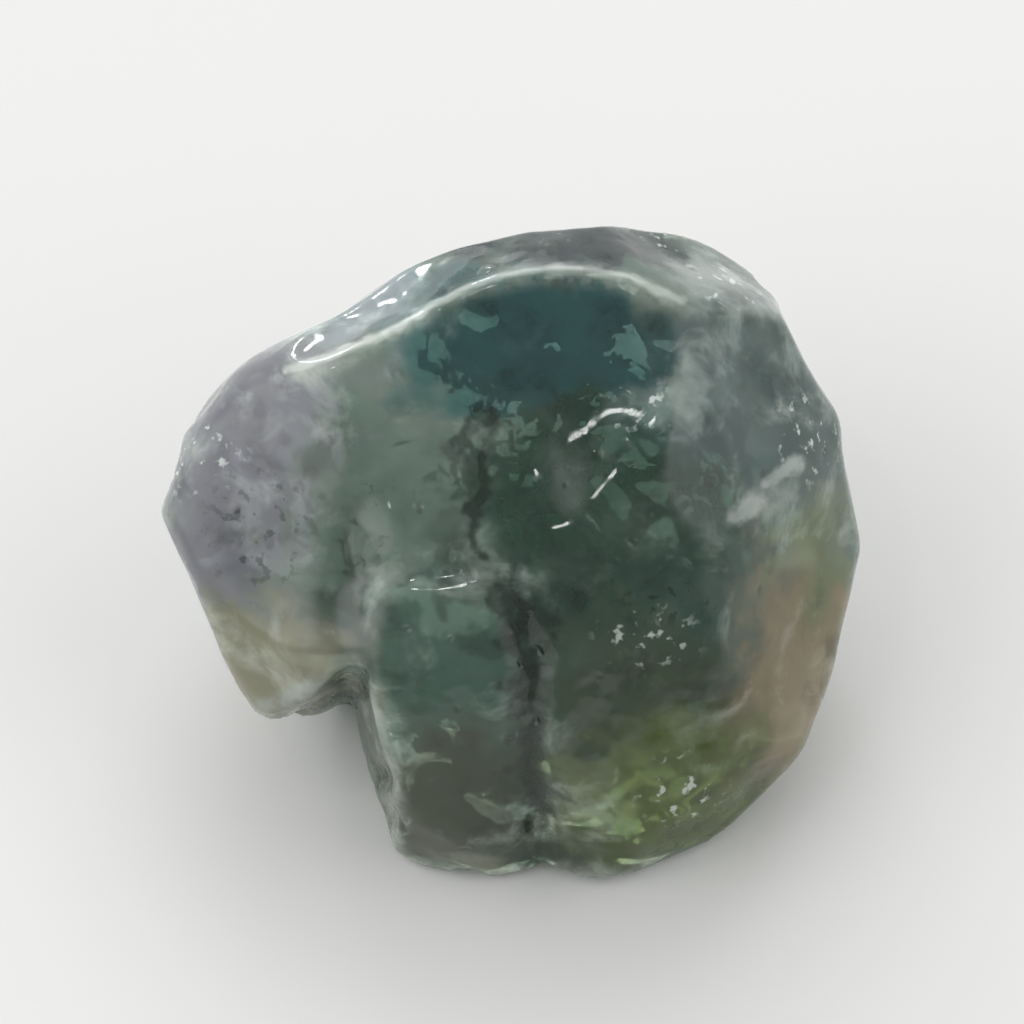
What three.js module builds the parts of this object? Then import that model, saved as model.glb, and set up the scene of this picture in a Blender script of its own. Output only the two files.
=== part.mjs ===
// A tumbled chip of moss agate, in millimetres, with +Z up and its origin at the bottom centre.
//
// The chip is first described face on: X to the right, Y up its broad face and Z out of that face.
// Each fracture face is a plane, or a large sphere where it is domed or dished, and neighbouring
// faces meet in edges that tumbling has rounded. The chip is then tipped forward until it lies on
// the flat of its underside.

import * as THREE from 'three';
import { mergeVertices } from 'three/addons/utils/BufferGeometryUtils.js';

// Driving dimensions
const FORWARD_TIP = 32;           // degrees that the broad face leans from level towards the front
const REST_REACH = 3.0;           // from the chip's middle down to the flat that it rests on
const REST_EDGE = 0.35;           // rounding round that flat
const SEGMENTS = 19;              // divisions of each edge of the starting icosahedron
const RELAX_PASSES = 14;
const SETTLE_STEPS = 4;
const FLAT_SNAP = 0.004;          // points this near to the flat lie on it

// Fracture faces, in groups. The bearing runs anticlockwise from +X in the broad face, the lean is
// positive towards the viewer, and the reach is the distance from the chip's middle, all of the
// face's outward normal. A bulge is the radius of a domed face and a dish that of a hollow one.
// Round is the radius of the edge between a face and those above it in its group, and the group's
// edge is the radius where the whole group meets those above it.
const GROUPS = [
  // Outline, anticlockwise from the right
  {
    edge: 1.0,
    faces: [
      { bearing: 0, lean: 4, reach: 4.94, bulge: 14, round: 3.0 },
      { bearing: 27, lean: 8, reach: 4.80, bulge: 30, round: 3.0 },
      { bearing: 43, lean: -4, reach: 5.22, round: 2.5 },
      { bearing: 89, lean: -4, reach: 4.47, bulge: 30, round: 2.0 },
      { bearing: 106, lean: 0, reach: 4.18, round: 3.0 },
      { bearing: 120, lean: -3, reach: 3.95, round: 3.0 },
      { bearing: 144, lean: 0, reach: 4.58, round: 2.0 },
      { bearing: 161, lean: -8, reach: 4.66, round: 1.0 },
      { bearing: 209, lean: -6, reach: 3.99, bulge: 25, round: 0.6 },
      { bearing: 226, lean: 0, reach: 4.06, round: 1.6 },
      { bearing: 236, lean: -4, reach: 4.36, round: 1.6 },
      { bearing: 265, lean: 2, reach: 4.72, bulge: 8, round: 1.6 },
      { bearing: 283, lean: -4, reach: 4.72, bulge: 9, round: 2.0 },
      { bearing: 315, lean: 6, reach: 4.94, bulge: 8, round: 3.0 },
      { bearing: 345, lean: -5, reach: 4.80, bulge: 12, round: 3.0 },
    ],
  },
  // Broad face: the hollow under the crest, the lobes below it, then the left and right flanks
  {
    edge: 0.8,
    faces: [
      { bearing: 90, lean: 74, reach: 2.20, dish: 8, round: 1.0 },
      { bearing: 270, lean: 70, reach: 2.66, bulge: 8, round: 5.0 },
      { bearing: 250, lean: 45, reach: 3.52, bulge: 9, round: 1.8 },
      { bearing: 305, lean: 45, reach: 3.80, bulge: 9, round: 1.8 },
      { bearing: 184, lean: 55, reach: 2.80, dish: 14, round: 0.7 },
      { bearing: 215, lean: 45, reach: 3.14, round: 1.0 },
      { bearing: 353, lean: 49, reach: 3.36, bulge: 12, round: 0.8 },
      { bearing: 15, lean: 58, reach: 3.08, dish: 16, round: 0.35 },
    ],
  },
  // Band above the crest
  {
    edge: 0.18,
    faces: [
      { bearing: 111, lean: 34, reach: 3.89, round: 1.0 },
      { bearing: 98, lean: 30, reach: 4.40, bulge: 9, round: 3.8 },
      { bearing: 63, lean: 30, reach: 4.54, bulge: 9, round: 3.8 },
    ],
  },
  // Back
  {
    edge: 0.6,
    faces: [
      { bearing: 96, lean: -25, reach: 4.24, dish: 14, round: 0.6 },
      { bearing: 160, lean: -34, reach: 4.15, bulge: 18, round: 0.7 },
      { bearing: 18, lean: -36, reach: 4.56, bulge: 16, round: 0.8 },
      { bearing: 330, lean: -42, reach: 4.30, bulge: 20, round: 0.7 },
      { bearing: 212, lean: -44, reach: 3.72, dish: 18, round: 0.7 },
      { bearing: 62, lean: -60, reach: 3.60, dish: 12, round: 0.5 },
      { bearing: 132, lean: -63, reach: 3.50, bulge: 14, round: 0.6 },
    ],
  },
];

// Notch broken out of the lower left of the outline, between two walls that face into it
const NOTCH = {
  edge: 0.25,
  hollow: 0.2,
  walls: [
    { bearing: 298, lean: 4, reach: 0.60 },
    { bearing: 196, lean: 6, reach: 2.42 },
  ],
};

// Creases and short gouges in the broad face, which deepen along their length: their line seen face
// on, their depth and their half width
const CREASES = [
  { line: [[-1.5, 1.8], [-1.95, 0.7], [-2.15, -0.6], [-2.2, -2.0]], depth: 0.16, width: 0.35 },
  {
    line: [[0.1, 0.4], [0, -0.4], [0.36, -1.5], [0.26, -2.5], [0.52, -3.8], [0.4, -4.7]],
    depth: 0.22,
    width: 0.28,
  },
  { line: [[0.5, -2.9], [0.4, -4.8]], depth: 0.34, width: 0.75 },
  { line: [[0, -0.2], [-0.9, -0.22], [-1.9, -0.3]], depth: 0.1, width: 0.22 },
  { line: [[3.95, 1.25], [3.5, 0.85], [3.1, 0.5]], depth: 0.12, width: 0.22 },
  { line: [[-2.2, -2.9], [-1.7, -3.05]], depth: 0.14, width: 0.16 },
  { line: [[-2.0, -3.45], [-1.5, -3.6]], depth: 0.1, width: 0.15 },
];
const CREASE_TAPER = 0.4;         // share of a crease's length over which it deepens
const CREASE_BACK = -1.6;         // the creases fade out from the middle of the edge to this depth

// Low waves across each face, out of step from one face to the next, so that the edges wander
const WAVES = [
  { direction: [1.3, 0.6, 0.4], phase: 0.6, height: 0.05 },
  { direction: [-0.7, 1.6, 0.9], phase: 2.1, height: 0.05 },
  { direction: [1.2, -1.4, 2.2], phase: 4.0, height: 0.03 },
  { direction: [3.1, 1.9, -1.7], phase: 1.2, height: 0.02 },
];
const WAVE_STEP = 2.4;            // radians between one face's waves and the next one's

const GREY_GREEN = 0x5f7a6c;
const DEGREE = Math.PI / 180;

function normalOf(bearing, lean) {
  const level = Math.cos(lean * DEGREE);
  return new THREE.Vector3(
    level * Math.cos(bearing * DEGREE),
    level * Math.sin(bearing * DEGREE),
    Math.sin(lean * DEGREE),
  );
}

// How far a point is past a face, negative inside the stone, and the outward direction there
function pastPlane(point, face) {
  return { past: point.dot(face.normal) - face.reach, outward: face.normal };
}

function pastDome(point, face) {
  const outward = point.clone().sub(face.centre);
  const past = outward.length() - face.bulge;
  return { past, outward: outward.normalize() };
}

function pastDish(point, face) {
  const outward = face.centre.clone().sub(point);
  const past = face.dish - outward.length();
  return { past, outward: outward.normalize() };
}

function prepared(face) {
  const normal = normalOf(face.bearing, face.lean);
  if (face.bulge) {
    return { ...face, centre: normal.multiplyScalar(face.reach - face.bulge), measure: pastDome };
  }
  if (face.dish) {
    return { ...face, centre: normal.multiplyScalar(face.reach + face.dish), measure: pastDish };
  }
  return { ...face, normal, measure: pastPlane };
}

let faceCount = 0;

function numbered(face) {
  faceCount += 1;
  return { ...prepared(face), shift: faceCount * WAVE_STEP };
}

const groups = GROUPS.map(({ edge, faces }) => ({ edge, faces: faces.map(numbered) }));
const walls = NOTCH.walls.map(numbered);
const rest = prepared({ bearing: 270, lean: FORWARD_TIP - 90, reach: REST_REACH });

function waveHeight(point, shift) {
  let height = 0;
  for (const wave of WAVES) {
    const [x, y, z] = wave.direction;
    height += wave.height * Math.sin(x * point.x + y * point.y + z * point.z + wave.phase + shift);
  }
  return height;
}

function wavy(point, face) {
  const surface = face.measure(point, face);
  surface.past += waveHeight(point, face.shift);
  return surface;
}

// The part inside both of two surfaces, with an edge of the given radius between them
function roundedEdge(a, b, radius) {
  const width = radius * (1 - a.outward.dot(b.outward)) + 1e-9;
  const near = Math.max(width - Math.abs(a.past - b.past), 0) / width;
  const share = a.past > b.past ? near / 2 : 1 - near / 2;
  return {
    past: Math.max(a.past, b.past) + near * near * width / 4,
    outward: a.outward.clone().lerp(b.outward, share).normalize(),
  };
}

function inverted(surface) {
  return { past: -surface.past, outward: surface.outward.clone().negate() };
}

function pastGroup(point, group) {
  let surface = wavy(point, group.faces[0]);
  for (const face of group.faces.slice(1)) {
    surface = roundedEdge(surface, wavy(point, face), face.round);
  }
  return surface;
}

// The notch is open where a point is past both of its walls
function pastNotch(point) {
  const [above, beside] = walls.map((wall) => inverted(wavy(point, wall)));
  return inverted(roundedEdge(above, beside, NOTCH.hollow));
}

// The distance from a line seen face on, and how far along it the nearest place is, from 0 to 1
function nearestOnLine(x, y, line) {
  const nearest = { away: Infinity, along: 0 };
  for (let i = 1; i < line.length; i += 1) {
    const [ax, ay] = line[i - 1];
    const [bx, by] = line[i];
    const run = ((x - ax) * (bx - ax) + (y - ay) * (by - ay)) / ((bx - ax) ** 2 + (by - ay) ** 2);
    const share = THREE.MathUtils.clamp(run, 0, 1);
    const away = Math.hypot(x - ax - share * (bx - ax), y - ay - share * (by - ay));
    if (away < nearest.away) {
      nearest.away = away;
      nearest.along = (i - 1 + share) / (line.length - 1);
    }
  }
  return nearest;
}

// How far the creases and gouges sink the surface at a point
function sunk(point) {
  let depth = 0;
  for (const { line, depth: full, width } of CREASES) {
    const { away, along } = nearestOnLine(point.x, point.y, line);
    const taper = THREE.MathUtils.smoothstep(along, 0, CREASE_TAPER);
    depth += full * taper * Math.exp(-((away / width) ** 2));
  }
  return depth * THREE.MathUtils.smoothstep(point.z, CREASE_BACK, 0);
}

// Distance from the stone's surface, negative inside
function stone(point) {
  let surface = pastGroup(point, groups[0]);
  for (const group of groups.slice(1)) {
    surface = roundedEdge(surface, pastGroup(point, group), group.edge);
  }
  surface = roundedEdge(surface, pastNotch(point), NOTCH.edge);
  surface.past += sunk(point);
  return roundedEdge(surface, rest.measure(point, rest), REST_EDGE).past;
}

const PROBE = 0.01;
const probe = new THREE.Vector3();

function slopeAlong(point, axis) {
  probe.copy(point);
  probe[axis] += PROBE;
  const ahead = stone(probe);
  probe[axis] -= 2 * PROBE;
  return (ahead - stone(probe)) / (2 * PROBE);
}

function settle(point, steps) {
  for (let i = 0; i < steps; i += 1) {
    const slope = new THREE.Vector3(
      slopeAlong(point, 'x'),
      slopeAlong(point, 'y'),
      slopeAlong(point, 'z'),
    );
    point.addScaledVector(slope, -stone(point) / slope.lengthSq());
  }
}

// The crossing of the surface along a ray from the chip's middle
function crossing(direction) {
  let inner = 0;
  let outer = 8;
  while (outer - inner > PROBE) {
    const middle = (inner + outer) / 2;
    if (stone(direction.clone().multiplyScalar(middle)) < 0) {
      inner = middle;
    } else {
      outer = middle;
    }
  }
  return direction.clone().multiplyScalar(outer);
}

function neighboursOf(geometry, count) {
  const neighbours = Array.from({ length: count }, () => new Set());
  const index = geometry.index.array;
  for (let i = 0; i < index.length; i += 3) {
    for (let corner = 0; corner < 3; corner += 1) {
      const a = index[i + corner];
      const b = index[i + (corner + 1) % 3];
      neighbours[a].add(b);
      neighbours[b].add(a);
    }
  }
  return neighbours;
}

function relax(points, neighbours) {
  return points.map((point, i) => {
    const middle = new THREE.Vector3();
    for (const j of neighbours[i]) {
      middle.add(points[j]);
    }
    middle.divideScalar(neighbours[i].size);
    return point.clone().lerp(middle, 0.5);
  });
}

function wrappedSurface() {
  const ball = new THREE.IcosahedronGeometry(1, SEGMENTS - 1);
  ball.deleteAttribute('normal');
  ball.deleteAttribute('uv');
  const geometry = mergeVertices(ball);
  const position = geometry.attributes.position;
  const neighbours = neighboursOf(geometry, position.count);

  let points = Array.from({ length: position.count }, (_, i) => (
    crossing(new THREE.Vector3().fromBufferAttribute(position, i).normalize())
  ));
  for (let pass = 0; pass < RELAX_PASSES; pass += 1) {
    points = relax(points, neighbours);
    points.forEach((point) => settle(point, 1));
  }
  points.forEach((point) => settle(point, SETTLE_STEPS));
  points.forEach((point, i) => position.setXYZ(i, point.x, point.y, point.z));
  return geometry;
}

// Tips the chip onto its flat and puts the bottom centre of its box at the origin
function laidDown(geometry) {
  geometry.rotateX(FORWARD_TIP * DEGREE);
  geometry.translate(0, 0, REST_REACH);
  const position = geometry.attributes.position;
  for (let i = 0; i < position.count; i += 1) {
    if (Math.abs(position.getZ(i)) < FLAT_SNAP) {
      position.setZ(i, 0);
    }
  }
  geometry.computeBoundingBox();
  const centre = geometry.boundingBox.getCenter(new THREE.Vector3());
  geometry.translate(-centre.x, -centre.y, 0);
  geometry.computeVertexNormals();
  return geometry;
}

const agate = new THREE.MeshStandardMaterial({ color: GREY_GREEN, roughness: 0.15, metalness: 0 });

const chip = new THREE.Mesh(laidDown(wrappedSurface()), agate);
chip.name = 'agate_chip';

const part = new THREE.Group();
part.add(chip);

export default part;
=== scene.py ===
"""A tumbled chip of moss agate on a plain pale floor.

The chip's surface follows the same fracture faces as its solid, sampled finely enough to carry the small
relief that tumbling leaves: a low unevenness, conchoidal ripples, bruised edges and pits. Its stone is
translucent grey-green chalcedony, with moss growing inside it as a mesh of fine branching strands.
"""

import math
from itertools import count

import bmesh
import bpy
import numpy as np
import openvdb
from mathutils import Matrix, Vector, kdtree, noise


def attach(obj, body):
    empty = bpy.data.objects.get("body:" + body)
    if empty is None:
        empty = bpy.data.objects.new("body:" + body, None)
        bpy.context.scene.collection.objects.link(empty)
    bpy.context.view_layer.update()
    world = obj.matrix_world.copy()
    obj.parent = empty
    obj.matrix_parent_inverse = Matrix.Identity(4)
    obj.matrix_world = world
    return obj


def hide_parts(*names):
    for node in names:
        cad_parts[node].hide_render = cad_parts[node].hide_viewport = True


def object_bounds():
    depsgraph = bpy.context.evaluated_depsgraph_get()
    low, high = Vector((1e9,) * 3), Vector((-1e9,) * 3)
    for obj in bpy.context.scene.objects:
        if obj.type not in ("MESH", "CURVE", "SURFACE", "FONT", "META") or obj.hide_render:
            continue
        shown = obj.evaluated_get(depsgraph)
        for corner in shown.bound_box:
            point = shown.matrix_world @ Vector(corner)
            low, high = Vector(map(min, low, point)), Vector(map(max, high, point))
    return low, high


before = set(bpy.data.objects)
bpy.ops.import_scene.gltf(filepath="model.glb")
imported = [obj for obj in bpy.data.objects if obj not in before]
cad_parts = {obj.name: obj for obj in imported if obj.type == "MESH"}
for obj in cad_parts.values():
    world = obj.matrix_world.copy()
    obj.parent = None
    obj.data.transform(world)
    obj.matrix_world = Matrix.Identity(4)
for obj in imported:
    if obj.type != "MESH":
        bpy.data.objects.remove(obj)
cad_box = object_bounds()

MM = 0.001

# The stone face on, in millimetres: X to the right, Y up its broad face and Z out of that face
FORWARD_TIP = math.radians(32)    # the broad face leans this far from level towards the front
REST_REACH = 3.0                  # from the chip's middle down to the flat that it rests on
REST_EDGE = 0.35                  # radius of that flat's edge

# Fracture faces, in groups with the radius of the group's edge. Each is its normal's bearing and lean in
# degrees, its reach from the middle, the radius of its dome, or of its dish if negative, or 0 if flat, and
# its edge's radius.
OUTLINE = (1.0, [
    (0, 4, 4.94, 14, 3.0),
    (27, 8, 4.80, 30, 3.0),
    (43, -4, 5.22, 0, 2.5),
    (89, -4, 4.47, 30, 2.0),
    (106, 0, 4.18, 0, 3.0),
    (120, -3, 3.95, 0, 3.0),
    (144, 0, 4.58, 0, 2.0),
    (161, -8, 4.66, 0, 1.0),
    (209, -6, 3.99, 25, 0.6),
    (226, 0, 4.06, 0, 1.6),
    (236, -4, 4.36, 0, 1.6),
    (265, 2, 4.72, 8, 1.6),
    (283, -4, 4.72, 9, 2.0),
    (315, 6, 4.94, 8, 3.0),
    (345, -5, 4.80, 12, 3.0),
])
BROAD_FACE = (0.8, [
    (90, 74, 2.20, -8, 1.0),
    (270, 70, 2.66, 8, 5.0),
    (250, 45, 3.52, 9, 1.8),
    (305, 45, 3.80, 9, 1.8),
    (184, 55, 2.80, -14, 0.7),
    (215, 45, 3.14, 0, 1.0),
    (353, 49, 3.36, 12, 0.8),
    (15, 58, 3.08, -16, 0.35),
])
ABOVE_CREST = (0.18, [
    (111, 34, 3.89, 0, 1.0),
    (98, 30, 4.40, 9, 3.8),
    (63, 30, 4.54, 9, 3.8),
])
BACK = (0.6, [
    (96, -25, 4.24, -14, 0.6),
    (160, -34, 4.15, 18, 0.7),
    (18, -36, 4.56, 16, 0.8),
    (330, -42, 4.30, 20, 0.7),
    (212, -44, 3.72, -18, 0.7),
    (62, -60, 3.60, -12, 0.5),
    (132, -63, 3.50, 14, 0.6),
])
GROUPS = [OUTLINE, BROAD_FACE, ABOVE_CREST, BACK]

# The faces, given in the same way, that wall in the notch at the lower left, with its edges' radii
NOTCH_WALLS = [(298, 4, 0.60, 0, 0), (196, 6, 2.42, 0, 0)]
NOTCH_HOLLOW = 0.2
NOTCH_EDGE = 0.25

# Creases and gouges in the broad face: depth, half width, then the line that each deepens along
CREASES = [
    (0.16, 0.35, [(-1.5, 1.8), (-1.95, 0.7), (-2.15, -0.6), (-2.2, -2.0)]),
    (0.22, 0.28, [(0.1, 0.4), (0, -0.4), (0.36, -1.5), (0.26, -2.5), (0.52, -3.8), (0.4, -4.7)]),
    (0.34, 0.75, [(0.5, -2.9), (0.4, -4.8)]),
    (0.10, 0.22, [(0, -0.2), (-0.9, -0.22), (-1.9, -0.3)]),
    (0.12, 0.22, [(3.95, 1.25), (3.5, 0.85), (3.1, 0.5)]),
    (0.14, 0.16, [(-2.2, -2.9), (-1.7, -3.05)]),
    (0.10, 0.15, [(-2.0, -3.45), (-1.5, -3.6)]),
]
CREASE_TAPER = 0.4                # share of its line over which a crease reaches its depth
CREASE_BACK = -1.6                # height at which creases have faded out behind the face

# Low waves across each face: direction, phase and height
WAVES = [
    ((1.3, 0.6, 0.4), 0.6, 0.05),
    ((-0.7, 1.6, 0.9), 2.1, 0.05),
    ((1.2, -1.4, 2.2), 4.0, 0.03),
    ((3.1, 1.9, -1.7), 1.2, 0.02),
]
WAVE_STEP = 2.4                   # how far the waves are moved on from one face to the next
TINY = 1e-9                       # keeps the width of an edge above 0


def smoothstep(value, low, high):
    share = np.clip((value - low) / (high - low), 0, 1)
    return share * share * (3 - 2 * share)


def normal_of(bearing, lean):
    bearing, lean = math.radians(bearing), math.radians(lean)
    level = math.cos(lean)
    return np.array([level * math.cos(bearing), level * math.sin(bearing), math.sin(lean)])


def wave_height(points, shift):
    rise = np.zeros(len(points))
    for direction, phase, height in WAVES:
        rise += height * np.sin(points @ np.array(direction) + phase + shift)
    return rise


def past_face(points, face, shift):
    """How far points are past a face, negative inside the stone, and the outward directions there."""
    bearing, lean, reach, radius, _ = face
    normal = normal_of(bearing, lean)
    waves = wave_height(points, shift)
    if radius == 0:
        return points @ normal - reach + waves, np.broadcast_to(normal, points.shape)
    spokes = (points - normal * (reach - radius)) * np.sign(radius)
    length = np.linalg.norm(spokes, axis=1)
    return length * np.sign(radius) - radius + waves, spokes / length[:, None]


def rounded_edge(one, other, radius):
    """The part inside both of two surfaces, with an edge of the given radius between them."""
    past, outward = one
    past_other, outward_other = other
    width = radius * (1 - (outward * outward_other).sum(1)) + TINY
    near = np.maximum(width - np.abs(past - past_other), 0) / width
    share = np.where(past > past_other, near / 2, 1 - near / 2)[:, None]
    turned = outward + (outward_other - outward) * share
    turned /= np.linalg.norm(turned, axis=1, keepdims=True)
    return np.maximum(past, past_other) + near * near * width / 4, turned


def inverted(surface):
    return -surface[0], -surface[1]


def past_group(points, faces, shifts):
    surface = past_face(points, faces[0], next(shifts))
    for face in faces[1:]:
        surface = rounded_edge(surface, past_face(points, face, next(shifts)), face[4])
    return surface


def along_line(points, line):
    """The distance from a line seen face on, and how far along it the nearest place is, from 0 to 1."""
    away = np.full(len(points), np.inf)
    along = np.zeros(len(points))
    for i, (start, end) in enumerate(zip(line[:-1], line[1:])):
        start, run = np.array(start), np.subtract(end, start)
        offset = points[:, :2] - start
        share = np.clip(offset @ run / (run @ run), 0, 1)
        distance = np.linalg.norm(offset - share[:, None] * run, axis=1)
        nearer = distance < away
        away = np.where(nearer, distance, away)
        along = np.where(nearer, (i + share) / (len(line) - 1), along)
    return away, along


def sunk(points):
    """How far the creases and gouges sink the surface."""
    depth = np.zeros(len(points))
    for full, width, line in CREASES:
        away, along = along_line(points, line)
        depth += full * smoothstep(along, 0, CREASE_TAPER) * np.exp(-((away / width) ** 2))
    return depth * smoothstep(points[:, 2], CREASE_BACK, 0)


def stone(points):
    """How far points are past the stone's surface, and the outward directions there."""
    shifts = (WAVE_STEP * number for number in count(1))
    surface = past_group(points, GROUPS[0][1], shifts)
    for edge, faces in GROUPS[1:]:
        surface = rounded_edge(surface, past_group(points, faces, shifts), edge)
    above, beside = (inverted(past_face(points, wall, next(shifts))) for wall in NOTCH_WALLS)
    surface = rounded_edge(surface, inverted(rounded_edge(above, beside, NOTCH_HOLLOW)), NOTCH_EDGE)
    surface = surface[0] + sunk(points), surface[1]
    down = normal_of(270, math.degrees(FORWARD_TIP) - 90)
    rest = points @ down - REST_REACH, np.broadcast_to(down, points.shape)
    return rounded_edge(surface, rest, REST_EDGE)


TIPPED = np.array(Matrix.Rotation(FORWARD_TIP, 3, "X"))
MIDDLE_STEPS = 6                  # steps in which the chip's middle is found


def face_on(placed, middle):
    """Points of the chip as it lies, in metres, seen face on in millimetres."""
    return (placed / MM + [middle[0], middle[1], -REST_REACH]) @ TIPPED


def as_it_lies(points, middle):
    return (points @ TIPPED.T - [middle[0], middle[1], -REST_REACH]) * MM


def middle_of_box(placed):
    """Where the chip's middle is from its box's centre: the shift that puts the solid on the faces."""
    middle = np.zeros(2)
    for _ in range(MIDDLE_STEPS):
        past, outward = stone(face_on(placed, middle))
        slope = (outward @ TIPPED.T)[:, :2]
        middle -= np.linalg.lstsq(slope, past, rcond=None)[0]
    return middle


SAME_PLACE = 1e-7                 # metres within which the solid's corners are one point
CUTS = 4                          # new points along each edge of the solid's triangles
EVEN_PASSES = 3                   # how often the points are evened out and put back on the faces
SETTLE_STEPS = 6                  # further steps that put them closer to the faces


def divided(node):
    """The node's mesh with its corners joined and its triangles divided, as a bmesh."""
    bm = bmesh.new()
    bm.from_mesh(node.data)
    bmesh.ops.remove_doubles(bm, verts=bm.verts, dist=SAME_PLACE)
    bmesh.ops.triangulate(bm, faces=bm.faces)
    bmesh.ops.subdivide_edges(bm, edges=bm.edges, cuts=CUTS, use_grid_fill=True)
    bmesh.ops.triangulate(bm, faces=bm.faces)
    bm.verts.index_update()
    return bm


class Surface:
    """The stone's points, in millimetres face on, with the edges and triangles between them."""

    def __init__(self, bm, middle):
        self.points = face_on(np.array([v.co for v in bm.verts]), middle)
        self.edges = np.array([[v.index for v in e.verts] for e in bm.edges])
        self.triangles = np.array([[v.index for v in f.verts] for f in bm.faces])
        ends = self.edges.ravel()
        self.neighbour_count = np.bincount(ends, minlength=len(self.points))

    def neighbour_mean(self, values):
        columns = values.reshape(len(values), -1)
        ends, others = self.edges.ravel(), self.edges[:, ::-1].ravel()
        sums = [np.bincount(ends, column[others], len(values)) for column in columns.T]
        return (np.array(sums) / self.neighbour_count).T.reshape(values.shape)

    def softened(self, values, passes):
        for _ in range(passes):
            values = (values + self.neighbour_mean(values)) / 2
        return values

    def settle(self, steps):
        for _ in range(steps):
            past, outward = stone(self.points)
            self.points = self.points - outward * past[:, None]

    def normals(self):
        a, b, c = (self.points[self.triangles[:, corner]] for corner in range(3))
        facing = np.cross(b - a, c - a)
        total = np.zeros_like(self.points)
        for corner in range(3):
            for axis in range(3):
                total[:, axis] += np.bincount(self.triangles[:, corner], facing[:, axis], len(self.points))
        return total / np.linalg.norm(total, axis=1, keepdims=True)

    def sharpness(self, passes):
        """How sharply the surface turns: positive on ridges, negative in creases, in millimetres of step."""
        offset = self.points - self.neighbour_mean(self.points)
        return self.softened((offset * self.normals()).sum(1), passes)


def fractal(points, size, octaves):
    """Noise from about -1 to 1 whose largest lumps have the given size."""
    return np.array([noise.fractal(Vector(p), 1.0, 2.0, octaves) for p in points / size])


def drift(points, size, octaves, shifts):
    """Noise in three directions, each from its own place in the noise."""
    return np.stack([fractal(points + shift, size, octaves) for shift in shifts], 1)


def far_from(points, centre, halves):
    """0 at a patch's centre and 1 where its half sizes end."""
    return np.linalg.norm((points - centre) / halves, axis=1)


# Unevenness left by tumbling, in millimetres: size of the lumps, octaves and height
SWELLS = [(1.1, 2, 0.026), (0.4, 2, 0.006)]

# Conchoidal ripples: where each blow fell, how far its ripples reach, their spacing and height
RIPPLE_FULL = 0.35                # share of the reach up to which ripples have their full height
RIPPLE_WANDER = (1.6, 2, 0.3)     # size of the waves in the ripples' course, octaves and reach
RIPPLES = [
    ((-0.4, 4.6, 1.6), 2.6, 0.34, 0.0022),
    ((-4.2, 2.0, 1.6), 2.4, 0.30, 0.0020),
    ((1.0, 4.2, -3.0), 3.0, 0.36, 0.0030),
    ((-3.4, -2.6, -2.6), 2.8, 0.32, 0.0030),
]


def uneven(surface):
    for size, octaves, height in SWELLS:
        surface.points += surface.normals() * (height * fractal(surface.points, size, octaves))[:, None]


def rippled(surface):
    rise = np.zeros(len(surface.points))
    size, octaves, sideways = RIPPLE_WANDER
    wander = sideways * fractal(surface.points, size, octaves)
    for blow, reach, spacing, height in RIPPLES:
        away = np.linalg.norm(surface.points - blow, axis=1)
        fade = 1 - smoothstep(away, RIPPLE_FULL * reach, reach)
        rise += height * fade * np.sin((away + wander) * 2 * math.pi / spacing)
    surface.points += surface.normals() * rise[:, None]


RIDGE_PASSES = 4                  # how often sharpness is evened out before it counts as a ridge
CREASE_PASSES = 10
RIDGE_RANK = 0.8                  # share of the surface that isn't sharp enough to flake
RIDGE_POWER = 1.5                 # the higher, the more the flakes keep to the sharpest ridges
FLAKE_COUNT = 90
FLAKE_DEPTH = (0.004, 0.018)
FLAKE_REACH = 0.3
FLAKE_TILT = 0.2
FLAKE_PASSES = 6                  # how often directions are evened out before flakes follow them
FLAKES_FADE = (-0.4, 0.8)         # heights between which the flakes give way to the smooth edges in front
PIT_COUNT = 200
PIT_RADIUS = (0.03, 0.09)
PIT_DEPTH = 0.4                   # share of the radius
PIT_STRETCH = 0.6                 # from 0 for round pits to 1 for grooves
SMALL_PITS = 2.5                  # the higher, the more of the pits are small
FEW_PITS = 0.02                   # how likely a pit is on an open face, against 1 in the deepest crease
MORE_PITS = 0.12                  # and how much likelier in the middle of a patch
PIT_PATCHES = (1.5, 2)            # size and octaves of those patches


def tree_of(points):
    tree = kdtree.KDTree(len(points))
    for i, point in enumerate(points):
        tree.insert(point, i)
    tree.balance()
    return tree


def bruise_edges(surface, rng):
    """Takes small flat flakes off the ridges."""
    ridge = np.maximum(surface.sharpness(RIDGE_PASSES), 0)
    ridge = smoothstep(ridge, np.quantile(ridge, RIDGE_RANK), ridge.max()) ** RIDGE_POWER
    ridge *= 1 - smoothstep(surface.points[:, 2], *FLAKES_FADE)
    normals = surface.softened(surface.normals(), FLAKE_PASSES)
    tree = tree_of(surface.points)
    for i in rng.choice(len(ridge), FLAKE_COUNT, replace=False, p=ridge / ridge.sum()):
        depth = rng.uniform(*FLAKE_DEPTH)
        facing = normals[i] + rng.normal(0, FLAKE_TILT, 3)
        facing /= np.linalg.norm(facing)
        near = np.array([index for _, index, _ in tree.find_range(surface.points[i], FLAKE_REACH)])
        offset = surface.points[near] - surface.points[i]
        fade = 1 - smoothstep(np.linalg.norm(offset, axis=1), 0.5 * FLAKE_REACH, FLAKE_REACH)
        surface.points[near] -= facing * (np.maximum(offset @ facing + depth, 0) * fade)[:, None]


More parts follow.
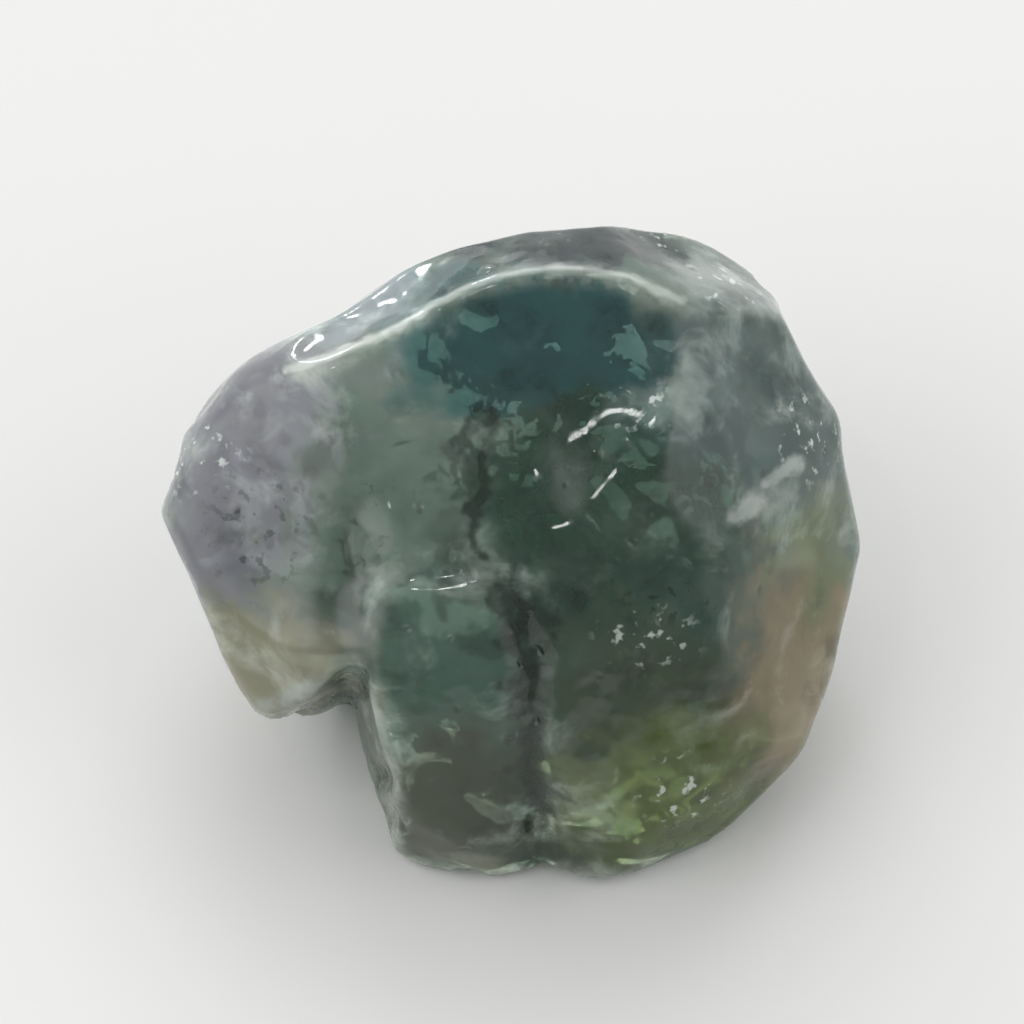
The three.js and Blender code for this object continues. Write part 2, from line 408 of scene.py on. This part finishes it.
def pit_surface(surface, rng):
    """Sinks small pits, more of them in creases than on open faces."""
    crease = np.maximum(-surface.sharpness(CREASE_PASSES), 0)
    crease /= crease.max()
    patches = np.maximum(fractal(surface.points, *PIT_PATCHES), 0) ** 2
    likely = FEW_PITS + crease + MORE_PITS * patches
    normals = surface.normals()
    tree = tree_of(surface.points)
    for i in rng.choice(len(likely), PIT_COUNT, replace=False, p=likely / likely.sum()):
        radius = PIT_RADIUS[0] + (PIT_RADIUS[1] - PIT_RADIUS[0]) * rng.random() ** SMALL_PITS
        stretch = np.cross(normals[i], rng.normal(size=3))
        stretch /= np.linalg.norm(stretch)
        near = np.array([index for _, index, _ in tree.find_range(surface.points[i], 2 * radius)])
        offset = surface.points[near] - surface.points[i]
        along = offset @ stretch
        away = np.sqrt(np.maximum((offset ** 2).sum(1) - PIT_STRETCH * along ** 2, 0)) / radius
        sink = PIT_DEPTH * radius * np.maximum(1 - away ** 2, 0) ** 2
        surface.points[near] -= normals[i] * sink[:, None]


def linear(colour):
    """A colour given as six hex digits, in the linear values that the shader takes."""
    channels = [int(colour[i:i + 2], 16) / 255 for i in (0, 2, 4)]
    return [c / 12.92 if c <= 0.04045 else ((c + 0.055) / 1.055) ** 2.4 for c in channels]


# Colour zones of the stone, a few of them painted highlights: place and half sizes face on in millimetres,
# colour, how far it covers, how clear the stone is there, and how soft the zone's edge is
ZONES = [
    ("lilac grey left", (-4.3, 1.5, 0.5), (2.9, 2.4, 3.5), "9a98a5", 0.85, 0.5, 0.4),
    ("beige lower left", (-3.6, -1.8, 0.5), (1.9, 1.6, 3.5), "aaa587", 0.85, 0.5, 0.7),
    ("grey beside the streak", (-1.4, 0.7, 1.5), (1.2, 1.7, 2.2), "82958a", 0.7, 0.6, 0.4),
    ("green by the crease", (-2.05, 0.2, 1.2), (0.5, 2.0, 2.0), "55705f", 0.6, 0.7, 0.9),
    ("green middle", (1.1, 0.8, 1.0), (2.3, 2.1, 3.0), "48735f", 0.8, 0.8, 0.5),
    ("grey-green right", (3.4, 2.2, 0.8), (2.1, 1.7, 3.0), "506a68", 0.9, 0.45, 0.35),
    ("teal hollow", (0.3, 3.0, 1.5), (2.3, 1.25, 2.2), "4f8f8e", 0.9, 0.78, 0.35),
    # Painted highlight on the hollow's right side
    ("patch of painted highlight", (2.1, 2.1, 1.4), (0.8, 0.5, 1.4), "9dafab", 0.55, 0.5, 0.9),
    ("teal lobe", (-1.0, -1.4, 1.5), (1.5, 1.4, 2.6), "6f9484", 0.8, 0.6, 0.5),
    # Painted highlight along the ledge
    ("ledge of painted highlight", (-1.0, -0.5, 2.0), (1.3, 0.22, 1.4), "95b3a3", 0.7, 0.5, 0.7),
    ("olive lobe", (-0.9, -3.6, 0.5), (1.9, 1.7, 3.0), "5e6749", 0.85, 0.6, 0.9),
    ("dark olive", (1.7, -1.9, 1.2), (1.5, 1.3, 2.6), "73876a", 0.85, 0.75, 0.6),
    ("yellow-green glow", (2.5, -3.3, 0.5), (1.8, 1.4, 2.6), "788c22", 0.9, 0.7, 0.8),
    ("pale seam", (1.15, -3.1, 0.6), (0.28, 1.0, 2.0), "a9b28a", 0.35, 0.6, 0.9),
    ("beige right", (4.4, -1.7, 0.5), (1.6, 1.8, 3.0), "b8a47e", 0.85, 0.5, 0.8),
    ("pale green right", (4.4, -0.1, 0.5), (0.9, 0.8, 2.5), "8c9a6f", 0.75, 0.5, 0.8),
    # Painted highlight on the band above the crest's left half
    ("band of painted highlight", (-2.3, 3.4, 0.7), (1.8, 0.75, 1.5), "87939a", 0.85, 0.2, 0.5),
    ("blue band", (1.1, 4.3, 0.8), (1.9, 0.55, 1.4), "284751", 0.9, 0.8, 0.6),
    # Painted reflection on the small corner facet beyond the crest's right end
    ("corner of painted reflection", (2.95, 3.65, 0.9), (0.75, 0.6, 1.3), "b4c0bb", 0.85, 0.4, 0.9),
    # Painted sheen along the bottom rim
    ("rim of painted sheen", (0.2, -4.6, 0.3), (3.0, 0.5, 2.2), "a9ae94", 0.7, 0.5, 0.8),
]
BODY = "80998c"
BODY_DARK = "527466"
BODY_PALE = "9aa69d"
BROAD_PATCHES = (2.2, 3)          # size and octaves of the broad changes in the stone's colour
DARK_PATCHES = (-0.35, 0.07)      # values of that noise between which the stone goes from dark to its body
PALE_PATCHES = (0.07, 0.56)       # and from its body to pale
CLEARNESS = 0.6
ZONE_EDGE = 0.85                  # where a zone fades to half, as a share of its half sizes
EDDIES = [(2.2, 2, 0.5), (0.6, 4, 0.5)]     # sizes, octaves and reach of the swirls along the zones' edges
EDDY_SHIFTS = (5.3, 23.1, 61.9)   # where in the noise the three directions are read


def swirled(points):
    """The points moved about, so that what is drawn at them has ragged edges."""
    for size, octaves, reach in EDDIES:
        points = points + reach * drift(points, size, octaves, EDDY_SHIFTS)
    return points


def zone_share(points, centre, halves, softness):
    """1 in the middle of a zone, falling to 0 at its edge."""
    away = far_from(points, centre, halves)
    return 1 - smoothstep(away, ZONE_EDGE - softness / 2, ZONE_EDGE + softness / 2)


def blend(colours, share, colour):
    return colours + share[:, None] * (np.array(linear(colour)) - colours)


def stone_colours(points):
    """The stone's colour and clearness at points, before its clouds and lines."""
    broad = fractal(points, *BROAD_PATCHES)
    colours = np.tile(linear(BODY_DARK), (len(points), 1))
    colours = blend(colours, smoothstep(broad, *DARK_PATCHES), BODY)
    colours = blend(colours, smoothstep(broad, *PALE_PATCHES), BODY_PALE)
    clear = np.full(len(points), CLEARNESS)
    points = swirled(points)
    for _, centre, halves, tint, cover, clearness, softness in ZONES:
        share = cover * zone_share(points, centre, halves, softness)
        colours = blend(colours, share, tint)
        clear += share * (clearness - clear)
    return colours, clear


# The moss's two greens, the size and octaves of their patches, and places where it has another colour
MOSS_GREEN = ("2c5240", "447a58")
MOSS_SHADES = (0.6, 3)
MOSS_SOFTNESS = 0.6               # of those places' edges
MOSS_TINTS = [
    ((0.3, 3.2, 1.0), (2.6, 1.5, 2.4), "457a80"),
    ((2.2, -2.6, 0.6), (1.8, 1.6, 2.4), "5f7a3c"),
    ((-3.6, 0.0, 0.0), (2.0, 2.8, 2.8), "5c7468"),
]


def moss_colours(points):
    shade = smoothstep(fractal(points, *MOSS_SHADES), -0.5, 0.5)
    colours = blend(np.tile(linear(MOSS_GREEN[0]), (len(points), 1)), shade, MOSS_GREEN[1])
    points = swirled(points)
    for centre, halves, tint in MOSS_TINTS:
        colours = blend(colours, zone_share(points, centre, halves, MOSS_SOFTNESS), tint)
    return colours


CREST = [(-3.0, 2.5), (-1.8, 2.93), (-0.7, 3.55), (0.0, 3.79), (0.7, 3.89), (1.7, 3.74), (2.4, 3.45)]

# Lines seen face on, each with its half width: dark seams of moss, and painted highlights along the crest,
# on a short arc beyond it and on the gouge at the right
DARK_LINES = [
    (0.12, [(-0.36, 2.1), (-0.4, 1.2), (-0.33, 0.1)]),
    (0.23, [(0.1, -0.4), (0.36, -1.5), (0.26, -2.5), (0.52, -3.8), (0.4, -4.7)]),
]
PAINTED_HIGHLIGHT_LINES = [
    (0.055, CREST),
    (0.05, [(2.2, 4.35), (2.9, 4.3)]),
    (0.10, [(3.95, 1.25), (3.6, 0.95)]),
    (0.13, [(3.4, 0.7), (3.12, 0.5)]),
]
DARK_WANDER = (0.5, 3, 0.35)      # size of the waves in the dark lines, octaves and reach
HIGHLIGHT_LINES_WANDER = (0.4, 2, 0.06)
WANDER_SHIFTS = (3.1, 17.7, 43.9)
LINES_FADE = (-0.8, 0.2)          # heights between which the lines fade in
LINES_END = 5                     # half widths beyond which a line has no effect
LINES_BEHIND = 3                  # half widths that points behind the face count as further away

# Patches of speckles: place and half sizes face on. The pale ones, listed first, are painted glints.
PAINTED_GLINT_SPECKLES = [
    ((1.9, -1.1, 1.6), (0.8, 0.5, 1.4)),
    ((3.1, 3.8, 0.8), (0.8, 0.5, 1.2)),
    ((2.4, 4.3, 0.6), (0.6, 0.25, 1.2)),
    ((-4.2, 1.4, 0.6), (0.9, 0.7, 1.2)),
    ((1.8, 2.0, 2.0), (0.6, 0.4, 1.2)),
    ((4.1, 1.6, 0.5), (0.6, 0.7, 1.4)),
    ((2.4, -3.2, 0.6), (0.7, 0.6, 1.6)),
]
DARK_SPECKLES = [
    ((2.2, -0.6, 1.6), (0.9, 0.4, 1.4)),
    ((-1.8, 0.3, 1.6), (0.45, 0.9, 1.2)),
    ((-3.2, 0.4, 0.8), (1.0, 1.2, 1.4)),
]
SPECKLES_FADE = (0.5, 1.2)        # shares of a patch's half sizes between which it fades out


def away_from_lines(points, lines, wander):
    """How many half widths points are from the nearest line seen face on, and more than that behind."""
    size, octaves, reach = wander
    drifted = points + reach * drift(points, size, octaves, WANDER_SHIFTS)
    away = np.min([along_line(drifted, line)[0] / half_width for half_width, line in lines], 0)
    behind = 1 - smoothstep(points[:, 2], *LINES_FADE)
    return np.minimum(away, LINES_END) + LINES_BEHIND * behind


def in_patches(points, patches):
    """1 in the middle of patches, falling to 0 at their edges."""
    away = np.min([far_from(points, centre, halves) for centre, halves in patches], 0)
    return 1 - smoothstep(away, *SPECKLES_FADE)


def store(mesh, name, values):
    """Keeps a value, or three, with each of the mesh's points."""
    kind, part = ("FLOAT", "value") if values.ndim == 1 else ("FLOAT_VECTOR", "vector")
    mesh.attributes.new(name, kind, "POINT").data.foreach_set(part, values.astype(np.float32).ravel())


SEED = 11
SHOWN_PASSES = 8                  # how often sharpness is evened out before it colours the stone
RIDGE_SHOWS = (0.0008, 0.006)     # sharpness between which a ridge shows
CREASE_SHOWS = (0.0006, 0.004)


def tumbled(surface):
    """Settles the surface onto the faces and gives it what tumbling leaves."""
    for _ in range(EVEN_PASSES):
        surface.points = surface.softened(surface.points, 1)
        surface.settle(1)
    surface.settle(SETTLE_STEPS)
    rng = np.random.default_rng(SEED)
    uneven(surface)
    rippled(surface)
    bruise_edges(surface, rng)
    pit_surface(surface, rng)


def looks(surface):
    """What the stone's material needs to know at each point, by name."""
    colours, clear = stone_colours(surface.points)
    sharpness = surface.sharpness(SHOWN_PASSES)
    return {
        "ridge": smoothstep(sharpness, *RIDGE_SHOWS),
        "crease": smoothstep(-sharpness, *CREASE_SHOWS),
        "body": colours,
        "clearness": clear,
        "dark_lines": away_from_lines(surface.points, DARK_LINES, DARK_WANDER),
        "painted_highlight_lines": away_from_lines(surface.points, PAINTED_HIGHLIGHT_LINES, HIGHLIGHT_LINES_WANDER),
        "dark_speckles": in_patches(surface.points, DARK_SPECKLES),
        "painted_glint_speckles": in_patches(surface.points, PAINTED_GLINT_SPECKLES),
    }


def make_stone():
    bm = divided(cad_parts["agate_chip"])
    middle = middle_of_box(np.array([v.co for v in bm.verts]))
    surface = Surface(bm, middle)
    tumbled(surface)
    placed = as_it_lies(surface.points, middle)
    placed[:, 2] = np.maximum(placed[:, 2], 0)
    for vertex, place in zip(bm.verts, placed):
        vertex.co = place
    mesh = bpy.data.meshes.new("agate_stone")
    bm.to_mesh(mesh)
    bm.free()
    mesh.shade_smooth()
    for name, values in looks(surface).items():
        store(mesh, name, values)
    chip = bpy.data.objects.new("agate_stone", mesh)
    bpy.context.scene.collection.objects.link(chip)
    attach(chip, "root")
    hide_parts("agate_chip")
    return chip, surface, middle


MOSS_PITCH = 0.06                 # spacing of the field that the moss is the skin of
MOSS_COVER = 0.07                 # clear stone over the moss
MOSS_REACH = 2.4                  # how deep in the stone it grows
MOSS_ROOM = 0.5                   # how fast strands thin out towards the cover
STRANDS = (1.1, 4)                # size and octaves of the noises that the strands follow
STRAND_SHIFT = 31.7
STRAND_WIDTH = 0.05               # how near to 0 the noises are inside the thinnest strands
STRAND_THICKENS = 0.16            # and what that grows by for each 1 of the moss's thickness
THICKEST = 1.6                    # thickness beyond which strands get no wider
SMALLEST_STRAND = 40              # points in the smallest separate strand that is kept

# Where moss grows inside the stone: place and half sizes face on, and how thick it grows
MOSS_BEDS = [
    ((0.8, 3.0, 1.2), (2.3, 1.2, 1.5), 1.7),
    ((1.2, 4.1, 0.2), (2.0, 0.7, 1.2), 1.0),
    ((1.0, 0.9, 0.9), (2.3, 2.0, 1.6), 0.8),
    ((-0.36, 1.1, 1.5), (0.35, 1.4, 1.2), 1.0),
    ((0.3, -2.0, 1.0), (0.4, 2.3, 1.6), 1.0),
    ((1.6, -1.9, 0.9), (1.4, 1.2, 1.3), 0.5),
    ((-1.1, -1.4, 0.9), (1.2, 1.2, 1.2), 0.35),
    ((2.3, -3.3, 0.2), (1.3, 0.9, 1.4), 0.3),
    ((-3.6, 0.8, -0.4), (1.5, 1.8, 1.5), 0.25),
    ((0.8, 1.0, -2.2), (3.0, 2.6, 1.4), 0.45),
]


def between(grid):
    """A grid of values with new ones halfway between its neighbours along each axis."""
    for axis in range(3):
        grid = np.moveaxis(grid, axis, 0)
        finer = np.empty((2 * len(grid) - 1, *grid.shape[1:]))
        finer[::2] = grid
        finer[1::2] = (grid[1:] + grid[:-1]) / 2
        grid = np.moveaxis(finer, 0, axis)
    return grid


BEDS_FADE = (0.3, 1.3)            # shares of a bed's half sizes between which it thins out
BESIDE_BEDS = -0.25               # thickness far from any bed, before the tufts
BED_EDGE = -0.12                  # and at a bed's edge
TUFTS = (1.3, 3)                  # size and octaves of the tufts that moss grows in
TUFT_SHIFT = 11.3
TUFT_THICKNESS = 0.45


def moss_thickness(points):
    """How thick moss grows at points, up to about 2, and below 0 where there is none."""
    thickness = np.full(len(points), BESIDE_BEDS)
    for centre, halves, full in MOSS_BEDS:
        share = 1 - smoothstep(far_from(points, centre, halves), *BEDS_FADE)
        thickness = np.maximum(thickness, full * share + BED_EDGE)
    return thickness + TUFT_THICKNESS * fractal(points + TUFT_SHIFT, *TUFTS)


def without_dust(points, faces):
    """A mesh without its smallest separate pieces."""
    piece = np.arange(len(points))
    while True:
        spread = piece.copy()
        lowest = piece[faces].min(1)
        for corner in faces.T:
            np.minimum.at(spread, corner, lowest)
        if (spread == piece).all():
            break
        piece = spread[spread]
    sizes = np.bincount(piece)[piece]
    faces = faces[sizes[faces[:, 0]] >= SMALLEST_STRAND]
    kept = np.unique(faces)
    return points[kept], np.searchsorted(kept, faces)


def depth_grid(low, high):
    """How deep in the stone each cell of a grid is, worked out at every fourth cell and evenly between."""
    step = 4 * MOSS_PITCH
    axes = [np.arange(start, end + step, step) for start, end in zip(low, high)]
    places = np.stack(np.meshgrid(*axes, indexing="ij"), -1)
    past = stone(places.reshape(-1, 3))[0].reshape(places.shape[:3])
    return -between(between(past))


def moss_field(low, high):
    """Values over a grid, positive inside strands that run where two noises are both near 0."""
    depths = depth_grid(low, high)
    cells = np.argwhere((depths > MOSS_COVER) & (depths < MOSS_REACH))
    points = low + MOSS_PITCH * cells
    thickness = moss_thickness(points)
    grows = thickness > 0
    cells, points, thickness = cells[grows], points[grows], thickness[grows]
    place = tuple(cells.T)
    strand = STRAND_WIDTH + STRAND_THICKENS * np.minimum(thickness, THICKEST)
    strand -= np.hypot(fractal(points, *STRANDS), fractal(points + STRAND_SHIFT, *STRANDS))
    field = np.full(depths.shape, -1.0)
    field[place] = np.minimum(strand, (depths[place] - MOSS_COVER) / MOSS_ROOM)
    return field


def make_moss(surface, middle):
    low, high = surface.points.min(0), surface.points.max(0)
    grid = openvdb.FloatGrid(background=1.0)
    grid.copyFromArray(-moss_field(low, high))
    corners, _, quads = grid.convertToPolygons(isovalue=0.0)
    corners, quads = without_dust(np.array(corners), np.array(quads, dtype=np.int64))
    corners = low + MOSS_PITCH * corners
    mesh = bpy.data.meshes.new("moss_strands")
    mesh.from_pydata(as_it_lies(corners, middle), [], quads.tolist())
    mesh.shade_smooth()
    store(mesh, "moss", moss_colours(corners))
    moss = bpy.data.objects.new("moss_strands", mesh)
    bpy.context.scene.collection.objects.link(moss)
    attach(moss, "root")
    return moss


NOISE_ROUGHNESS = 0.6


class Nodes:
    """Adds nodes to a material or world, each call giving the new node's output."""

    def __init__(self, owner):
        owner.use_nodes = True
        self.tree = owner.node_tree
        self.shader = self.tree.nodes.get("Principled BSDF")

    def add(self, kind, inputs, output=0, **settings):
        node = self.tree.nodes.new(kind)
        for name, value in settings.items():
            setattr(node, name, value)
        for name, value in inputs.items():
            self.set(node.inputs[name], value)
        return node.outputs[output]

    def set(self, socket, value):
        if isinstance(value, bpy.types.NodeSocket):
            self.tree.links.new(value, socket)
        elif socket.type == "RGBA":
            socket.default_value = (*value, 1)
        else:
            socket.default_value = value

    def maths(self, operation, a, b):
        return self.add("ShaderNodeMath", {0: a, 1: b}, operation=operation)

    def vector(self, operation, a, b, output="Vector"):
        return self.add("ShaderNodeVectorMath", {0: a, 1: b}, output, operation=operation)

    def noise(self, vector, scale, detail, distortion=0.0):
        inputs = {"Vector": vector, "Scale": scale, "Detail": detail, "Distortion": distortion}
        return self.add("ShaderNodeTexNoise", {**inputs, "Roughness": NOISE_ROUGHNESS})

    def steps(self, value, low, high, to_low=0.0, to_high=1.0):
        """The value's smooth step from low to high, as a value from to_low to to_high."""
        inputs = {"Value": value, "From Min": low, "From Max": high, "To Min": to_low, "To Max": to_high}
        return self.add("ShaderNodeMapRange", inputs, interpolation_type="SMOOTHSTEP")

    def mix(self, share, one, other):
        """A mix of two colours. The node's sockets go by number, since several share a name."""
        return self.add("ShaderNodeMix", {0: share, 6: one, 7: other}, 2, data_type="RGBA")

    def value(self, name):
        return self.add("ShaderNodeAttribute", {}, "Fac", attribute_name=name)

    def colour(self, name):
        return self.add("ShaderNodeAttribute", {}, "Color", attribute_name=name)


MOSS_DARK = "20382c"
FROST = "c4cdc6"
GLINT = "dde4df"
CLOUDS = (1.0, 4, 0.4)            # scale, detail and distortion of the clouds' noise
GRAINS = (5, 2)                   # scale and detail of the noise that breaks up the finer markings
WISP_SHIFT = (7.3, 1.9, 4.4)

# Two values of a noise for each marking, and how far the marking covers the stone at each
CLOUDS_SHOW = (0.50, 0.72, 0, 0.5)
WISPS_SHOW = (0.50, 0.70, 0, 0.45)
DARK_SPECKS_SHOW = (0.42, 0.34, 0, 0.6)
GLINT_SPECKS_SHOW = (0.58, 0.68, 0, 0.8)
BRUISES_AND_SHEEN_SHOW = (0.3, 0.6, 0.3, 0.8)
WISPS_LEFT = (0.8, 0.6, 0.15, 1)  # two values of the clearness, and the share of the wisps left at each

# How ragged the grains make the lines, in half widths, and how far the lines cover the stone
DARK_FRAY = (2, 0.75)
HIGHLIGHT_LINES_FRAY = (1.5, 0.55)
LINE_EDGE = (1.6, 0.3)            # half widths from a line between which it goes from none to full

CLOUDED = 0.5                     # clearness that the wisps and the painted highlights take away
ROUGHNESS = (0.35, 0.7, 0.04, 0.12)         # two values of the grains, and the roughness at each
CREASE_ROUGHNESS = 0.2            # what a crease adds
AGATE_IOR = 1.54
SCATTER_REACH = (1.0, 1.0, 0.8)   # red, green and blue, in units of the scatter's scale
SCATTER_SCALE = 0.8


def to_face_on(nodes, middle):
    """The shaded point, face on and in millimetres."""
    turn = Matrix.Rotation(-FORWARD_TIP, 3, "X")
    inputs = {
        "Vector": nodes.add("ShaderNodeTexCoord", {}, "Object"),
        "Location": turn @ Vector((middle[0], middle[1], -REST_REACH)),
        "Rotation": (-FORWARD_TIP, 0, 0),
        "Scale": (1 / MM,) * 3,
    }
    return nodes.add("ShaderNodeMapping", inputs, vector_type="POINT")


def line_share(nodes, name, grains, fray, cover):
    """How far a group of lines covers the stone, with edges frayed by grains."""
    away = nodes.maths("ADD", nodes.value(name), nodes.maths("MULTIPLY", grains, fray))
    none, full = LINE_EDGE
    return nodes.steps(away, none + fray / 2, full + fray / 2, 0, cover)


def grainy(nodes, name, grains, show):
    """How far a marking covers the stone, broken up by grains."""
    return nodes.maths("MULTIPLY", nodes.value(name), nodes.steps(grains, *show))


def moss_agate(middle):
    material = bpy.data.materials.new("moss_agate")
    nodes = Nodes(material)
    shader = nodes.shader.inputs
    place = to_face_on(nodes, middle)
    clear = nodes.value("clearness")
    grains = nodes.noise(place, *GRAINS)

    cloud = nodes.steps(nodes.noise(place, *CLOUDS), *CLOUDS_SHOW)
    colour = nodes.mix(cloud, nodes.colour("body"), linear(MOSS_DARK))
    wisp = nodes.steps(nodes.noise(nodes.vector("ADD", place, WISP_SHIFT), *CLOUDS), *WISPS_SHOW)
    wisp = nodes.maths("MULTIPLY", wisp, nodes.steps(clear, *WISPS_LEFT))
    colour = nodes.mix(wisp, colour, linear(FROST))

    specks = grainy(nodes, "dark_speckles", grains, DARK_SPECKS_SHOW)
    dark = nodes.maths("MAXIMUM", specks, line_share(nodes, "dark_lines", grains, *DARK_FRAY))
    colour = nodes.mix(dark, colour, linear(MOSS_DARK))
    # Painted highlights: glints on the pale speckles and along the crest, the arc and the gouge, in the
    # glint colour
    specks = grainy(nodes, "painted_glint_speckles", grains, GLINT_SPECKS_SHOW)
    pale = nodes.maths("MAXIMUM", specks, line_share(nodes, "painted_highlight_lines", grains, *HIGHLIGHT_LINES_FRAY))
    colour = nodes.mix(pale, colour, linear(GLINT))
    # Ridges whitened with frost: partly bruising, partly a painted highlight along the edges
    colour = nodes.mix(grainy(nodes, "ridge", grains, BRUISES_AND_SHEEN_SHOW), colour, linear(FROST))
    nodes.set(shader["Base Color"], colour)

    veiled = nodes.maths("MULTIPLY", nodes.maths("MAXIMUM", wisp, pale), CLOUDED)
    nodes.set(shader["Transmission Weight"], nodes.maths("SUBTRACT", clear, veiled))
    rough_crease = nodes.maths("MULTIPLY", nodes.value("crease"), CREASE_ROUGHNESS)
    rough = nodes.maths("ADD", nodes.steps(grains, *ROUGHNESS), rough_crease)
    nodes.set(shader["Roughness"], rough)
    shader["IOR"].default_value = AGATE_IOR
    shader["Subsurface Weight"].default_value = 1.0
    shader["Subsurface Radius"].default_value = SCATTER_REACH
    shader["Subsurface Scale"].default_value = SCATTER_SCALE * MM
    return material


MOSS_ROUGHNESS = 0.8


def moss_material():
    material = bpy.data.materials.new("moss")
    nodes = Nodes(material)
    nodes.set(nodes.shader.inputs["Base Color"], nodes.colour("moss"))
    nodes.shader.inputs["Roughness"].default_value = MOSS_ROUGHNESS
    return material


FLOOR_COLOUR = (0.78, 0.78, 0.77)
FLOOR_ROUGHNESS = 0.85
FLOOR_HALF = 1.2                  # metres from the floor's middle to its sides


def make_floor():
    material = bpy.data.materials.new("pale_floor")
    material.use_nodes = True
    shader = material.node_tree.nodes["Principled BSDF"].inputs
    shader["Base Color"].default_value = (*FLOOR_COLOUR, 1)
    shader["Roughness"].default_value = FLOOR_ROUGHNESS
    mesh = bpy.data.meshes.new("floor")
    signs = ((-1, -1), (1, -1), (1, 1), (-1, 1))
    corners = [(x * FLOOR_HALF, y * FLOOR_HALF, 0) for x, y in signs]
    mesh.from_pydata(corners, [], [(0, 1, 2, 3)])
    mesh.materials.append(material)
    floor = bpy.data.objects.new("floor", mesh)
    bpy.context.scene.collection.objects.link(floor)


def aimed(data, place, target):
    thing = bpy.data.objects.new(data.name, data)
    bpy.context.scene.collection.objects.link(thing)
    thing.location = place
    thing.rotation_euler = (Vector(target) - Vector(place)).to_track_quat("-Z", "Y").to_euler()
    return thing


# Small lamps for the crest and for glints beside it: place and size in metres, and power in watts
LAMPS = {
    "crest_lamp": ((-0.26, 0.60, 0.17), (0.10, 0.05), 0.2),
    "glint_lamp": ((-0.18, -0.05, 0.59), (0.06, 0.04), 0.08),
}

# The studio's light: an even level, and broad soft lights on it, each with its direction, the angles in
# degrees where it is full and where it ends, and how bright it is
EVEN_LIGHT = 0.42
SOFT_LIGHTS = [
    ((-0.90, -0.10, 0.42), 16, 48, 1.5),
    ((0.85, 0.0, 0.5), 16, 42, 1.0),
    ((-0.42, 0.85, 0.25), 12, 42, 1.8),
    ((0.12, 0.78, 0.60), 8, 28, 2.6),
]


def light_scene(target):
    for name, (place, size, power) in LAMPS.items():
        lamp = bpy.data.lights.new(name, "AREA")
        lamp.shape = "ELLIPSE"
        lamp.size, lamp.size_y = size
        lamp.energy = power
        aimed(lamp, place, target)
    world = bpy.data.worlds.new("studio")
    nodes = Nodes(world)
    direction = nodes.add("ShaderNodeTexCoord", {}, "Generated")
    light = EVEN_LIGHT
    for toward, full, end, strength in SOFT_LIGHTS:
        facing = nodes.vector("DOT_PRODUCT", direction, Vector(toward).normalized(), "Value")
        edges = math.cos(math.radians(end)), math.cos(math.radians(full))
        light = nodes.maths("ADD", nodes.steps(facing, *edges, 0, strength), light)
    nodes.set(nodes.tree.nodes["Background"].inputs["Strength"], light)
    nodes.tree.nodes["Background"].inputs["Color"].default_value = (1, 1, 1, 1)
    bpy.context.scene.world = world


VIEW_ELEVATION = math.radians(58)
VIEW_WIDTH = 14 * MM
LENS = 600                        # long, so that the view is nearly parallel as in the photo
NEAREST = 0.01


def make_camera(target):
    data = bpy.data.cameras.new("camera")
    data.lens = LENS
    data.clip_start = NEAREST
    away = VIEW_WIDTH * LENS / data.sensor_width
    back = Vector((0, -math.cos(VIEW_ELEVATION), math.sin(VIEW_ELEVATION)))
    bpy.context.scene.camera = aimed(data, target + back * away, target)


chip, surface, middle = make_stone()
chip.data.materials.append(moss_agate(middle))
make_moss(surface, middle).data.materials.append(moss_material())
make_floor()
target = (cad_box[0] + cad_box[1]) / 2
light_scene(target)
make_camera(target)
bpy.context.scene.view_settings.view_transform = "Standard"
